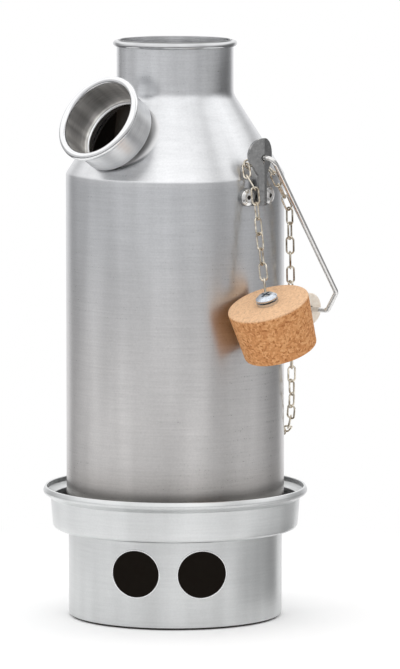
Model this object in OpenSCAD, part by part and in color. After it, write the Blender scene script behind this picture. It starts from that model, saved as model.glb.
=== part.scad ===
// Storm kettle: a double-walled chimney kettle that stands on a separate fire base.
// The frame has +Z up and its origin at the centre of the fire base's foot.
// The spout points to -X, the bail ears sit at -Y and +Y, and the bail rests on the +X side.

/* [Fire base] */
// Distance of the bowl's outside inside the jacket's outside
seat_step = 1.1; // [1:0.1:2.4]
// Height of the ledge's underside above the foot
ledge_h = 48.8; // [46:0.1:60]
// Distance of the collar outside the jacket, just above the ledge
collar_low_out = 7.5; // [6:0.1:8.4]
// Distance of the collar outside the jacket, below its lip
collar_high_out = 8.8; // [8:0.1:10]
// Distance of the flared lip outside the jacket
lip_out = 13.3; // [12.4:0.1:16]
// Height of the lip's lower edge above the ledge's underside
collar_h = 16.8; // [14:0.1:24]
// Distance that the lip curls in again at its upper edge
lip_in = 1.4; // [0.8:0.1:2]
// Height of the flared lip
lip_h = 6.2; // [5.6:0.1:8]
// Sheet thickness of the fire base
base_sheet = 1.2; // [0.8:0.1:1.6]
// Diameter of each air hole
vent_d = 26; // [18:0.2:27]
// Distance between the two air holes
vent_pitch = 36; // [32:0.5:44]
// Height of the air holes' centres above the foot
vent_z = 30.3; // [24:0.1:32]
// Direction that the air holes face, from -Y towards -X
vent_turn = 51.5; // [0:0.5:90]

/* [Kettle shell] */
// Outside diameter of the water jacket
body_d = 120; // [116:0.5:126]
// Height of the straight jacket wall
wall_h = 193.8; // [160:0.1:230]
// Height of the shoulder cone
shoulder_h = 43.8; // [42:0.1:48]
// Outside diameter of the neck
neck_d = 64; // [61:0.1:67]
// Height of the straight neck
neck_h = 26.2; // [20:0.1:34]
// Sheet thickness of the jacket, flue and spout
sheet = 0.8; // [0.6:0.05:1.0]
// Distance of the flue's lower end inside the jacket's outside
flue_in = 3; // [2.4:0.1:5]
// Height of the hem that folds up round the jacket's lower edge
hem_h = 6; // [4:0.5:9]
// Distance of the chimney's rolled bead outside the neck
chimney_bead_out = 2.1; // [1.9:0.1:4]
// Thickness of that rolled bead
chimney_bead_h = 3.4; // [2.4:0.1:4]

/* [Spout] */
// Diameter of the spout's bore
spout_bore_d = 43.2; // [43:0.1:44]
// Height of the spout from its floor to the middle of its rim
spout_h = 18.5; // [16:0.5:24]
// Thickness of the rolled rim
spout_rim_h = 4.2; // [3:0.1:5]
// Angle that the spout rises above square to the shoulder
spout_lift = 0; // [0:0.2:1]
// Share of the shoulder's height at which the spout stands
spout_up = 0.528; // [0.51:0.002:0.54]
// Diameter of the hole through the spout's floor, inside its eyelet
spout_hole_d = 36.8; // [30:0.1:37]

/* [Bail] */
// Diameter of the bail wire
bail_wire_d = 3; // [2.4:0.1:3.4]
// Distance from the pivot to the middle of the grip bar
bail_reach = 113.4; // [106:0.1:126]
// Distance from the jacket wall out to the wire beside each ear
arm_top_out = 11.4; // [10:0.1:15]
// Distance from the jacket wall out to the wire at the lower end of each arm
arm_low_out = 5.2; // [2:0.1:8]
// Length of the straight bar that carries the grip
bar_len = 102; // [96:0.2:108]
// Inside radius of the bends
bend_r = 3; // [2:0.5:5]
// Diameter of the grip
grip_d = 17.5; // [14:0.5:22]
// Length of the grip
grip_len = 79; // [60:1:84]

/* [Ears and rivets] */
// Height of the bail pivot above the shoulder's lower edge
pivot_up = 12; // [10:0.1:16]
// Sheet thickness of the ears and the chain lug
ear_sheet = 1.5; // [1.2:0.1:1.8]
// Distance from the jacket wall out to the ear's crease
ear_proud = 5.4; // [4.8:0.1:6]
// Fall of the ear's two halves away from the crease
ear_slope = 0.3; // [0.2:0.02:0.34]
// Radius of the ear's round head
ear_head_r = 9.2; // [8.4:0.1:10]
// Width of the ear's neck
ear_neck_w = 6.4; // [5.6:0.1:7.4]
// Distance between the two rivets of an ear
rivet_pitch = 17; // [16.6:0.2:24]
// Distance of the ear's rivets below the shoulder's lower edge
rivet_down = 9.2; // [6:0.1:11]
// Diameter of a rivet's shank
rivet_d = 3.2; // [2.4:0.1:3.6]
// Diameter of a rivet's flange
rivet_head_d = 9; // [8:0.2:10]
// Distance of the chain lug's top below the resting grip
lug_under = 3; // [2:0.5:40]

/* [Chain] */
// Diameter of the chain wire
link_wire_d = 0.95; // [0.8:0.05:1.1]
// Inside length of a link
link_in_len = 8.5; // [7.6:0.1:9.4]
// Inside width of a link
link_in_w = 3; // [2.6:0.1:3.4]
// Turn of each link against the one before
link_twist = 75; // [65:1:90]
// Gap between the hanging chain and the jacket wall
chain_off = 1.8; // [0.6:0.1:2.4]
// Length of the hanging chain as a multiple of the straight distance it spans
chain_slack = 1.57; // [1.4:0.01:1.8]

/* [Stopper] */
// Diameter of the cork's top
cork_top_d = 45; // [44:0.5:50]
// Diameter of the cork's lower end
cork_low_d = 40; // [36:0.1:43]
// Height of the cork
cork_h = 28.5; // [24:0.5:36]
// Lean of the hanging cork
cork_lean = 22; // [10:1:30]
// Diameter of the bolt through the cork
bolt_d = 4; // [3.4:0.1:4.4]
// Diameter of the bolt's head
bolt_head_d = 12; // [10:0.2:13]
// Thickness of the washers
washer_h = 1.6; // [1.5:0.1:2]

/* [Clearances] */
// Gap of riveted and folded joints
rivet_gap = 0.02; // [0.01:0.01:0.05]
// Gap between the flue and the neck that it lines
flue_gap = 0.2; // [0.1:0.05:0.3]
// Radial play of the bail wire in its ears
pivot_play = 0.3; // [0.2:0.05:0.5]
// Radial play of the grip on its bar
grip_play = 0.08; // [0.04:0.01:0.1]
// Play between two links of the chain
link_play = 0.25; // [0.2:0.01:0.3]
// Gap left where a loose piece rests against the jacket
rest_gap = 0.4; // [0.3:0.05:0.6]

/* [Hidden] */
$fn = 96;
fillet_steps = 6;

aluminium = [0.75, 0.76, 0.78];
steel = [0.62, 0.62, 0.63];
plated = [0.82, 0.78, 0.68];
cork_brown = [0.82, 0.6, 0.4];
pale_wood = [0.88, 0.82, 0.74];

// Heights along the kettle
body_r = body_d / 2;
neck_r = neck_d / 2;
seat_z = ledge_h + base_sheet;
jacket_z = seat_z + sheet;
break_z = jacket_z + wall_h;
neck_z = break_z + shoulder_h;
neck_top_z = neck_z + neck_h;
base_top_z = ledge_h + collar_h + lip_h;
shoulder_slope = (body_r - neck_r) / shoulder_h;
break_fillet = 3;
neck_fillet = 15;

// Flue, which lines the neck and rolls over its edge
flue_r = neck_r - sheet - flue_gap - sheet;
flue_cone_top_z = neck_z - 2;
flue_fillet = 6;
chimney_bead_z = neck_top_z + chimney_bead_h / 2 + flue_gap;
chimney_top_z = chimney_bead_z + chimney_bead_h / 2;

// Spout, seated on a boss drawn out of the shoulder
spout_z = break_z + spout_up * shoulder_h;
spout_rise = atan(shoulder_slope) + spout_lift;
spout_r = spout_bore_d / 2;
spout_corner = 1.2;
boss_proud = 0.9;
boss_r = spout_r + sheet - spout_corner;
boss_depth = 12;
eyelet_r = spout_hole_d / 2 + 0.6;
eyelet_lip = 1.2;

// Ears, rivets and bail pivot
pivot_z = break_z + pivot_up;
rivet_z = break_z - rivet_down;
rivet_turn = asin(rivet_pitch / 2 / body_r);
rivet_pad_r = rivet_head_d / 2 + 0.4;
rivet_head_h = 1.4;
rivet_tail_r = rivet_d / 2 + 1;
rivet_tail_h = 1.5;
rivet_tail_gap = 0.1;
rivet_hole_r = rivet_d / 2 + rivet_gap;
rivet_cut = 5;
mandrel_d = 2;
crease_y = body_r + ear_proud;
ear_wall_y = ear_sheet * sqrt(1 + ear_slope * ear_slope);
ear_head_z = pivot_z + 1.5;
ear_top_z = ear_head_z + ear_head_r;
ear_foot_z = rivet_z - rivet_pad_r;
bail_wire_r = bail_wire_d / 2;
pivot_hole_r = bail_wire_r + pivot_play;
bail_head_r = pivot_hole_r + 0.7;
bail_head_h = 1.3;
bail_head_y = crease_y - ear_wall_y - bail_head_r * ear_slope - 0.3;

// Bail at rest, with its grip against the jacket
bar_x = body_r + grip_d / 2 + rest_gap;
bail_lean = asin(bar_x / bail_reach);
grip_z = pivot_z - bail_reach * cos(bail_lean);
arm_top_y = body_r + arm_top_out;
arm_low_y = body_r + arm_low_out;
bar_half = bar_len / 2;
arm_len = bail_reach - (arm_low_y - bar_half) * 1.05;
bend_swell = 0.02;

// Chain: each link spans one pitch between two joint points
link_pitch = link_in_len - link_play;
slack_pitch = link_pitch - 0.7;
link_half = link_in_w / 2 + link_wire_d;
chain_wall_r = body_r + link_half + chain_off;

// Joint points where the chain passes between the ear's head and the shoulder
ear_mid = [0, -shell_r(pivot_z - 2.1) - 3.5, pivot_z - 2.1];
ear_right = step(ear_mid, [8, -1.2, -1.8]);
ear_left = step(ear_mid, [-8, -1.2, -1.8]);
right_edge = step(ear_right, [4, -4.2, -5.9]);
cork_hang_y = -body_r - ear_sheet - rivet_head_h - link_half - rest_gap;
left_edge = step_to(ear_left, -2.8, (ear_left.y + cork_hang_y) / 2);
cork_hang = step_to(left_edge, 1.6, cork_hang_y);

// The pouring chain leaves the ear under the bail's arm and hangs round the wall to its lug
bail_links = 3;
bail_chain_lean = bail_lean - 3;
bail_chain_way = unit([sin(bail_chain_lean), 0.02, -cos(bail_chain_lean)]);
bail_points = [for (i = [0:bail_links]) right_edge + i * link_pitch * bail_chain_way];
hang_start = bail_points[bail_links];
hang_start_r = norm([hang_start.x, hang_start.y]);
hang_start_turn = atan2(hang_start.x, -hang_start.y);
lug_turn = 90;
lug_sheet = 1;
lug_w = 10;
lug_hole_r = link_wire_d / 2 + 1;
lug_eye_r = lug_hole_r + 1.6;
lug_hole_x = chain_wall_r + 0.6;
lug_top_z = grip_z - grip_d / 2 - lug_under;
lug_rivets_z = [for (i = [1.1, 0]) lug_top_z - rivet_pad_r - i * rivet_head_d];
lug_z = lug_rivets_z[0] - rivet_head_d / 2 - 0.6 - lug_eye_r;
hang_end_z = lug_z - lug_hole_r + 0.2;
hang_span = chain_wall_r * (lug_turn - hang_start_turn) * PI / 180;
hang_rise = hang_end_z - hang_start.z;
hang_links = round(chain_slack * norm([hang_span, hang_rise]) / link_pitch);
hang_len = hang_links * link_pitch;
hang_chord = sqrt(hang_len ^ 2 - hang_rise ^ 2);
hang_scale = catenary_scale(hang_span, hang_chord, hang_span / 40, hang_span * 4, 50);
hang_low = hang_span / 2 - hang_scale * atanh(hang_rise / hang_len);
hang_from = hang_scale * sinh(-hang_low / hang_scale);
hang_points = [for (i = [0:hang_links]) hang_point(i / hang_links)];

// Stopper, hung from the end of its chain clear of the wall
bolt_r = bolt_d / 2;
cork_link_in_w = bolt_d + 0.6;
cork_link_turn = 45;
cork_link_reach = bolt_head_d / 2 + link_wire_d + 1.6;
cork_link_slip = 0.3;
cork_link_drop = 0.5;
cork_link_z = washer_h + link_wire_d / 2 + 0.05;
cork_axis_y = body_r + cork_top_d / 2 + rest_gap;
cork_links = 7;
cork_run = cork_links * link_pitch;
cork_end_y = -cork_axis_y + cork_link_reach * sin(cork_link_turn);
cork_side = -3.5;
cork_drop = sqrt(cork_run ^ 2 - cork_side ^ 2 - (cork_end_y - cork_hang.y) ^ 2);
cork_end = [cork_hang.x + cork_side, cork_end_y, cork_hang.z - cork_drop];
cork_points = [for (i = [0:cork_links]) cork_hang + (cork_end - cork_hang) * i / cork_links];
cork_link_way = turn_y([cos(cork_link_turn), sin(cork_link_turn), 0], cork_lean);
cork_link_up = turn_y([0, 0, cork_link_z - cork_link_drop], cork_lean);
cork_place = cork_end - cork_link_reach * cork_link_way - cork_link_up;
bolt_head_h = 2.6;
bolt_head_z = cork_link_z + link_wire_d / 2 + 0.05;
washer_r = bolt_head_d / 2;
nut_h = 3.2;
nut_af = 7;
bolt_tail = 1.2;

// The whole chain in order, from the stopper to the rear lug, each link twisted against the last
chain_points = concat(
    [for (i = [cork_links:-1:0]) cork_points[i]],
    [left_edge, ear_left, ear_mid, ear_right],
    bail_points,
    [for (i = [1:hang_links]) hang_points[i]]);
chain_links = len(chain_points) - 1;
chain_ways = [for (i = [0:chain_links - 1]) unit(chain_points[i + 1] - chain_points[i])];
chain_first_face = unit(cross(chain_ways[0], cork_link_way));
chain_faces = [for (i = [0:chain_links - 1]) carried_face(i)];
chain_last_way = chain_ways[chain_links - 1];
chain_last_roll = roll_to(chain_faces[chain_links - 1], cross(chain_last_way, [0, 1, 0]), chain_last_way);
chain_half_turns = round((link_twist * (chain_links - 1) - chain_last_roll) / 180);
chain_twist = (chain_last_roll + 180 * chain_half_turns) / (chain_links - 1);
ear_first = cork_links;
pour_first = cork_links + 5;

function unit(v) = v / norm(v);
function sinh(x) = (exp(x) - exp(-x)) / 2;
function asinh(x) = ln(x + sqrt(x * x + 1));
function atanh(x) = ln((1 + x) / (1 - x)) / 2;

// A point one slack link away from p
function step(p, way) = p + slack_pitch * unit(way);

// A point one slack link below p, moved by dx and out to y
function step_to(p, dx, y) = [p.x + dx, y, p.z - sqrt(slack_pitch ^ 2 - dx ^ 2 - (y - p.y) ^ 2)];

// Outside radius of the shell at a height on the shoulder cone
function shell_r(z) = neck_r + shoulder_slope * (neck_z - z);

// A vector of the upright cork, leaned towards the spout
function turn_y(v, lean) = [v.x * cos(lean) - v.z * sin(lean), v.y, v.x * sin(lean) + v.z * cos(lean)];

// The face of link i, carried along the chain from its first link without twisting
function carried_face(i) =
    i == 0 ? chain_first_face : carry(carried_face(i - 1), chain_ways[i - 1], chain_ways[i]);

// Vector v, square to a, turned by the shortest way that turns a to b
function carry(v, a, b) = v - (b * v) / (1 + a * b) * (a + b);

// Angle from v round to w about an axis square to v
function roll_to(v, w, axis) = atan2(cross(v, w) * axis, v * w);

// The scale of the catenary whose level span gives a known chord, found by halving
function catenary_scale(span, chord, low, high, steps) =
    let (mid = (low + high) / 2)
    steps == 0 ? mid
    : 2 * mid * sinh(span / 2 / mid) > chord ? catenary_scale(span, chord, mid, high, steps - 1)
    : catenary_scale(span, chord, low, mid, steps - 1);

// A point of the hanging chain, at a share of its length from the ear's end
function hang_point(share) =
    let (along = hang_from + share * hang_len)
    let (arc = hang_low + hang_scale * asinh(along / hang_scale))
    let (turn = hang_start_turn + arc / chain_wall_r * 180 / PI)
    let (z = hang_start.z + sqrt(hang_scale ^ 2 + along ^ 2) - sqrt(hang_scale ^ 2 + hang_from ^ 2))
    let (top = max(0, 1 - share * 2))
    let (end = max(0, share * 4 - 3))
    let (r = chain_wall_r + (hang_start_r - chain_wall_r) * top + (lug_hole_x - chain_wall_r) * end)
    [r * sin(turn), -r * cos(turn), z];

// Points of a fillet of radius r at corner b, between the lines to a and c
function fillet(a, b, c, r) =
    let (u = unit(a - b))
    let (v = unit(c - b))
    let (half = acos(u * v) / 2)
    let (middle = b + unit(u + v) * r / sin(half))
    let (first = b + u * r / tan(half) - middle)
    let (last = b + v * r / tan(half) - middle)
    [for (i = [0:fillet_steps]) middle + r * unit(first * (1 - i / fillet_steps) + last * i / fillet_steps)];

// An outline of corners [x, y, radius] with its corners rounded
function rounded(corners) =
    let (n = len(corners))
    [for (i = [0:n - 1])
        let (a = corners[(i + n - 1) % n])
        let (b = corners[i])
        let (c = corners[(i + 1) % n])
        each b[2] > 0 ? fillet([a.x, a.y], [b.x, b.y], [c.x, c.y], b[2]) : [[b.x, b.y]]];

module lathe(corners) {
    rotate_extrude() polygon(rounded(corners));
}

module on_spout() {
    translate([-shell_r(spout_z), 0, spout_z])
        rotate([0, spout_rise - 90, 0])
            translate([0, 0, boss_proud])
                children();
}

// Places children with +Z pointing straight out of the jacket wall
module on_wall(turn, z) {
    rotate([0, 0, turn])
        translate([0, -body_r, z])
            rotate([90, 0, 0])
                children();
}

module on_cork() {
    translate(cork_place) rotate([0, -cork_lean, 0]) children();
}

// An oval wire link in the XY plane, long along X
module link(in_len, in_w) {
    bend = (in_w + link_wire_d) / 2;
    straight = in_len - in_w;
    for (side = [0, 180]) {
        rotate([0, 0, side]) {
            translate([straight / 2, 0, 0])
                rotate([0, 0, -90])
                    rotate_extrude(angle = 180, $fn = 48)
                        translate([bend, 0])
                            circle(d = link_wire_d, $fn = 24);
            translate([-straight / 2, bend, 0])
                rotate([0, 90, 0])
                    cylinder(d = link_wire_d, h = straight, $fn = 24);
        }
    }
}

// Links of the chain, from one place in it to another
module chain_part(first, last) {
    for (i = [first:last]) {
        along = chain_ways[i];
        face = chain_faces[i] * cos(i * chain_twist) + cross(along, chain_faces[i]) * sin(i * chain_twist);
        wide = cross(face, along);
        middle = (chain_points[i] + chain_points[i + 1]) / 2;
        multmatrix([
            [along.x, wide.x, face.x, middle.x],
            [along.y, wide.y, face.y, middle.y],
            [along.z, wide.z, face.z, middle.z],
        ])
            link(link_in_len, link_in_w);
    }
}

// A blind rivet with its flange's underside at z = grip
module rivet(grip) {
    difference() {
        union() {
            translate([0, 0, -sheet - rivet_tail_h])
                cylinder(r = rivet_tail_r, h = rivet_tail_h - rivet_tail_gap);
            translate([0, 0, -sheet - rivet_tail_h])
                cylinder(d = rivet_d, h = sheet + rivet_tail_h + grip + rivet_head_h / 2);
            translate([0, 0, grip + rivet_gap])
                lathe([
                    [0, 0, 0],
                    [rivet_head_d / 2, 0, 0],
                    [rivet_head_d / 2, rivet_head_h * 0.4, 0],
                    [rivet_head_d / 2 - 1.6, rivet_head_h, 1.2],
                    [0, rivet_head_h, 0],
                ]);
        }
        translate([0, 0, grip])
            cylinder(d = mandrel_d, h = rivet_head_h * 2);
    }
}

module rivet_hole() {
    translate([0, 0, -rivet_cut]) cylinder(r = rivet_hole_r, h = 2 * rivet_cut);
}

module ear_rivets() {
    for (turn = [-rivet_turn, rivet_turn]) {
        on_wall(turn, rivet_z) rivet(ear_sheet + rivet_gap);
    }
}

module at_lug_rivets() {
    for (z = lug_rivets_z) {
        on_wall(lug_turn, z) children();
    }
}

module fire_base() {
    bowl_r = body_r - seat_step;
    low_r = body_r + collar_low_out;
    high_r = body_r + collar_high_out;
    lip_r = body_r + lip_out;
    lip_z = ledge_h + collar_h;
    t = base_sheet;
    color(aluminium)
        difference() {
            lathe([
                [0, 0, 0],
                [bowl_r, 0, 1],
                [bowl_r, ledge_h, 1.5],
                [low_r, ledge_h, 2.5],
                [high_r, lip_z, 1],
                [lip_r, lip_z + lip_h / 2, 1.8],
                [lip_r - lip_in, base_top_z, 0.5],
                [lip_r - lip_in - t, base_top_z, 0.4],
                [lip_r - t * 1.4, lip_z + lip_h / 2, 0.8],
                [high_r - t, lip_z + t / 2, 0.5],
                [low_r - t, seat_z, 1.5],
                [bowl_r - t, seat_z, 0.3],
                [bowl_r - t, t, 0.8],
                [0, t, 0],
            ]);
            rotate([0, 0, -vent_turn])
                for (side = [-1, 1]) {
                    translate([side * vent_pitch / 2, 0, vent_z])
                        rotate([90, 0, 0])
                            cylinder(d = vent_d, h = bowl_r + 5);
                }
        }
}

// Solid of the jacket's outside, or of its inside when inset by the sheet
module jacket_form(inset, bottom, top) {
    lean = atan(shoulder_slope);
    drop = inset * (1 / cos(lean) - 1) / tan(lean);
    lathe([
        [0, bottom, 0],
        [body_r - inset, bottom, 0],
        [body_r - inset, break_z - drop, break_fillet - inset],
        [neck_r - inset, neck_z - drop, neck_fillet + inset],
        [neck_r - inset, top, 0],
        [0, top, 0],
    ]);
}

module outer_jacket() {
    color(aluminium)
        difference() {
            union() {
                jacket_form(0, jacket_z, neck_top_z);
                on_spout() translate([0, 0, -boss_depth]) cylinder(r = boss_r, h = boss_depth);
            }
            jacket_form(sheet, jacket_z - 1, neck_top_z + 1);
            on_spout() translate([0, 0, -boss_depth]) cylinder(r = boss_r - sheet, h = boss_depth - sheet);
            on_spout() translate([0, 0, -boss_depth]) cylinder(r = eyelet_r + rivet_gap, h = boss_depth * 2);
            for (side = [0, 180]) {
                for (turn = [-rivet_turn, rivet_turn]) {
                    on_wall(side + turn, rivet_z) rivet_hole();
                }
            }
            at_lug_rivets() rivet_hole();
        }
}

module flue() {
    base_r = body_r - flue_in;
    bead_r = neck_r + chimney_bead_out - chimney_bead_h / 2;
    color(aluminium) {
        lathe([
            [base_r, jacket_z, 1.5],
            [flue_r + sheet, flue_cone_top_z, flue_fillet],
            [flue_r + sheet, chimney_bead_z, 0.5],
            [bead_r, chimney_bead_z, 0],
            [bead_r, chimney_top_z, 0],
            [flue_r, chimney_top_z, 1.2],
            [flue_r, flue_cone_top_z, flue_fillet + sheet],
            [base_r - sheet, seat_z, 0],
            [body_r + rivet_gap + sheet, seat_z, 0.5],
            [body_r + rivet_gap + sheet, seat_z + hem_h, 0],
            [body_r + rivet_gap, seat_z + hem_h, 0],
            [body_r + rivet_gap, jacket_z - rivet_gap, 0],
            [base_r + 1.5, jacket_z - rivet_gap, 0],
        ]);
        translate([0, 0, chimney_bead_z])
            rotate_extrude()
                translate([bead_r, 0])
                    circle(d = chimney_bead_h);
    }
}

module spout() {
    outside_r = spout_r + sheet;
    color(aluminium)
        on_spout() {
            lathe([
                [eyelet_r + rivet_gap, 0, 0],
                [outside_r, 0, spout_corner],
                [outside_r, spout_h, 0],
                [spout_r, spout_h, 0],
                [spout_r, sheet, spout_corner],
                [eyelet_r + rivet_gap, sheet, 0],
            ]);
            translate([0, 0, spout_h])
                rotate_extrude()
                    translate([spout_r + spout_rim_h / 2, 0])
                        circle(d = spout_rim_h);
        }
}

// A sleeve rolled over the spout's floor and the boss below it
module spout_eyelet() {
    hole_r = spout_hole_d / 2;
    lip_t = sheet;
    color(aluminium)
        on_spout()
            lathe([
                [hole_r, -sheet - lip_t, 0],
                [eyelet_r + eyelet_lip, -sheet - lip_t, 0],
                [eyelet_r + eyelet_lip, -sheet - rivet_gap, 0],
                [eyelet_r, -sheet - rivet_gap, 0],
                [eyelet_r, sheet + rivet_gap, 0],
                [eyelet_r + eyelet_lip, sheet + rivet_gap, 0],
                [eyelet_r + eyelet_lip, sheet + lip_t, 0.4],
                [hole_r, sheet + lip_t, 0.5],
            ]);
}

// Front view of an ear: round head, narrow neck and a foot with two rivet pads
module ear_outline(foot) {
    if (foot) {
        for (side = [-1, 1]) {
            translate([side * rivet_pitch / 2, rivet_z]) circle(r = rivet_pad_r);
        }
        translate([-rivet_pitch / 2, ear_foot_z]) square([rivet_pitch, 2 * rivet_pad_r]);
    } else {
        waist = ear_head_r * 0.9;
        translate([0, ear_head_z]) circle(r = ear_head_r);
        polygon([
            [-ear_neck_w / 2, ear_foot_z], [ear_neck_w / 2, ear_foot_z],
            [ear_neck_w / 2, ear_head_z - ear_head_r - 2], [waist, ear_head_z - ear_head_r * 0.436],
            [-waist, ear_head_z - ear_head_r * 0.436], [-ear_neck_w / 2, ear_head_z - ear_head_r - 2],
        ]);
    }
}

// Plan view of the creased sheet, or of the solid rib below it
module ear_plan(depth) {
    wide = ear_head_r + 2;
    fall = wide * ear_slope;
    polygon([
        [0, -crease_y], [wide, fall - crease_y], [wide, fall - crease_y + depth],
        [0, depth - crease_y], [-wide, fall - crease_y + depth], [-wide, fall - crease_y],
    ]);
}

module ear() {
    difference() {
        union() {
            intersection() {
                rotate([90, 0, 0]) linear_extrude(crease_y + ear_sheet) ear_outline(true);
                cylinder(r = body_r + rivet_gap + ear_sheet, h = ear_top_z);
            }
            intersection() {
                rotate([90, 0, 0]) linear_extrude(crease_y + ear_sheet) ear_outline(false);
                union() {
                    translate([0, 0, ear_foot_z])
                        linear_extrude(ear_top_z - ear_foot_z + 1) ear_plan(ear_wall_y);
                    translate([0, 0, ear_foot_z])
                        linear_extrude(2 * rivet_pad_r) ear_plan(ear_proud + ear_sheet);
                }
            }
        }
        cylinder(r = body_r + rivet_gap, h = ear_top_z + 1);
        translate([0, 0, pivot_z]) rotate([90, 0, 0]) cylinder(r = pivot_hole_r, h = crease_y + ear_sheet);
        for (turn = [-rivet_turn, rivet_turn]) {
            on_wall(turn, rivet_z) rivet_hole();
        }
    }
}

module bail_ear_front() {
    color(steel) ear();
}

module bail_ear_rear() {
    color(steel) rotate([0, 0, 180]) ear();
}

module ear_rivets_front() {
    color(steel) ear_rivets();
}

module ear_rivets_rear() {
    color(steel) rotate([0, 0, 180]) ear_rivets();
}

// A riveted strip with a tab that stands out of the wall, pierced for the chain's last link
module chain_lug() {
    low_z = lug_z - lug_eye_r;
    color(steel)
        difference() {
            union() {
                intersection() {
                    translate([0, -lug_w / 2, low_z]) cube([lug_hole_x, lug_w, lug_top_z - low_z]);
                    cylinder(r = body_r + rivet_gap + lug_sheet, h = lug_top_z + 1);
                }
                translate([lug_hole_x, lug_sheet / 2, lug_z])
                    rotate([90, 0, 0])
                        cylinder(r = lug_eye_r, h = lug_sheet);
                translate([body_r - 2, -lug_sheet / 2, low_z])
                    cube([lug_hole_x - body_r + 2, lug_sheet, 2 * lug_eye_r]);
            }
            cylinder(r = body_r + rivet_gap, h = lug_top_z + 1);
            translate([lug_hole_x, lug_w, lug_z]) rotate([90, 0, 0]) cylinder(r = lug_hole_r, h = 2 * lug_w);
            at_lug_rivets() rivet_hole();
        }
}

module lug_rivets() {
    color(steel) at_lug_rivets() rivet(lug_sheet + rivet_gap);
}

// A round wire through points of the XY plane, with its corners bent to a radius and slightly swollen
module bent_wire(points, r, bend) {
    last = len(points) - 1;
    lap = 0.2;
    turns = [for (i = [1:last - 1])
        let (u = unit(points[i] - points[i - 1]))
        let (v = unit(points[i + 1] - points[i]))
        [u, v, acos(u * v), sign(cross(u, v))]];
    trims = [0, for (t = turns) bend * tan(t[2] / 2), 0];
    for (i = [0:last - 1]) {
        way = unit(points[i + 1] - points[i]);
        first_lap = i > 0 ? lap : 0;
        last_lap = i < last - 1 ? lap : 0;
        start = points[i] + way * (trims[i] - first_lap);
        length = norm(points[i + 1] - points[i]) - trims[i] - trims[i + 1] + first_lap + last_lap;
        translate([start.x, start.y, 0])
            rotate([0, 0, atan2(way.y, way.x)])
                rotate([0, 90, 0])
                    cylinder(r = r, h = length);
    }
    for (i = [1:last - 1]) {
        t = turns[i - 1];
        side = [-t[0].y, t[0].x] * t[3];
        centre = points[i] - t[0] * trims[i] + side * bend;
        translate([centre.x, centre.y, 0])
            rotate([0, 0, atan2(-side.y, -side.x) - (t[3] < 0 ? t[2] : 0)])
                rotate_extrude(angle = t[2])
                    translate([bend, 0])
                        circle(r = r + bend_swell, $fn = 48);
    }
}

module bail_wire() {
    corners = [
        [bail_head_y - bail_head_h, 0], [arm_top_y, 0], [arm_low_y, arm_len], [bar_half, bail_reach],
    ];
    path = concat(corners, [for (i = [3:-1:0]) [-corners[i].x, corners[i].y]]);
    color(steel)
        translate([0, 0, pivot_z])
            rotate([0, 90 - bail_lean, 0])
                rotate([0, 0, -90]) {
                    bent_wire(path, bail_wire_r, bend_r + bail_wire_r);
                    for (side = [-1, 1]) {
                        translate([side * (bail_head_y - bail_head_h / 2), 0, 0])
                            rotate([0, 90, 0])
                                cylinder(r = bail_head_r, h = bail_head_h, center = true);
                    }
                }
}

module grip() {
    bore_r = bail_wire_r + grip_play;
    color(pale_wood)
        translate([bar_x, 0, grip_z])
            rotate([90, 0, 0])
                lathe([
                    [bore_r, -grip_len / 2, 0],
                    [grip_d / 2, -grip_len / 2, 1.5],
                    [grip_d / 2, grip_len / 2, 1.5],
                    [bore_r, grip_len / 2, 0],
                ]);
}

// Links held between the ear's head and the shoulder
module ear_chain() {
    color(plated) chain_part(ear_first, pour_first - 1);
}

// Links that hang from beside the ear round the wall to the rear lug
module pour_chain() {
    color(plated) chain_part(pour_first, chain_links - 1);
}

// The link that swings in the last link at the ear
module cork_chain_top() {
    color(plated) chain_part(cork_links - 1, cork_links - 1);
}

module cork_chain() {
    color(plated) chain_part(0, cork_links - 2);
}

module cork() {
    color(cork_brown)
        on_cork()
            difference() {
                lathe([
                    [0, -cork_h, 0],
                    [cork_low_d / 2, -cork_h, 0.8],
                    [cork_top_d / 2, 0, 0.8],
                    [0, 0, 0],
                ]);
                translate([0, 0, -cork_h - 1]) cylinder(r = bolt_r + rivet_gap, h = cork_h + 2);
            }
}

module cork_bolt() {
    tail_z = -cork_h - washer_h - nut_h - bolt_tail;
    slot = bolt_head_d * 0.5;
    color(steel)
        on_cork()
            difference() {
                union() {
                    translate([0, 0, tail_z]) cylinder(r = bolt_r, h = bolt_head_z - tail_z + 1);
                    translate([0, 0, bolt_head_z])
                        lathe([
                            [0, 0, 0],
                            [bolt_head_d / 2, 0, 0],
                            [bolt_head_d / 2, bolt_head_h * 0.3, 0.4],
                            [bolt_head_d * 0.3, bolt_head_h, 3],
                            [0, bolt_head_h, 0],
                        ]);
                }
                for (turn = [0, 90]) {
                    rotate([0, 0, turn])
                        translate([-slot / 2, -0.6, bolt_head_z + bolt_head_h - 1.6])
                            cube([slot, 1.2, 2]);
                }
            }
}

// The end link, clamped flat under the bolt's head
module cork_link() {
    near = bolt_r + 0.3;
    far = cork_link_reach + cork_link_slip - link_wire_d / 2;
    color(plated)
        on_cork()
            rotate([0, 0, cork_link_turn])
                translate([(far - near) / 2, 0, cork_link_z])
                    link(far + near, cork_link_in_w);
}

module cork_washers() {
    color(steel)
        on_cork()
            for (z = [0, -cork_h - washer_h]) {
                translate([0, 0, z])
                    difference() {
                        cylinder(r = washer_r, h = washer_h);
                        translate([0, 0, -1]) cylinder(r = bolt_r + rivet_gap, h = washer_h + 2);
                    }
            }
}

module cork_nut() {
    color(steel)
        on_cork()
            translate([0, 0, -cork_h - washer_h - nut_h])
                difference() {
                    cylinder(d = nut_af / cos(30), h = nut_h, $fn = 6);
                    translate([0, 0, -1]) cylinder(r = bolt_r + rivet_gap, h = nut_h + 2);
                }
}

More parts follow.
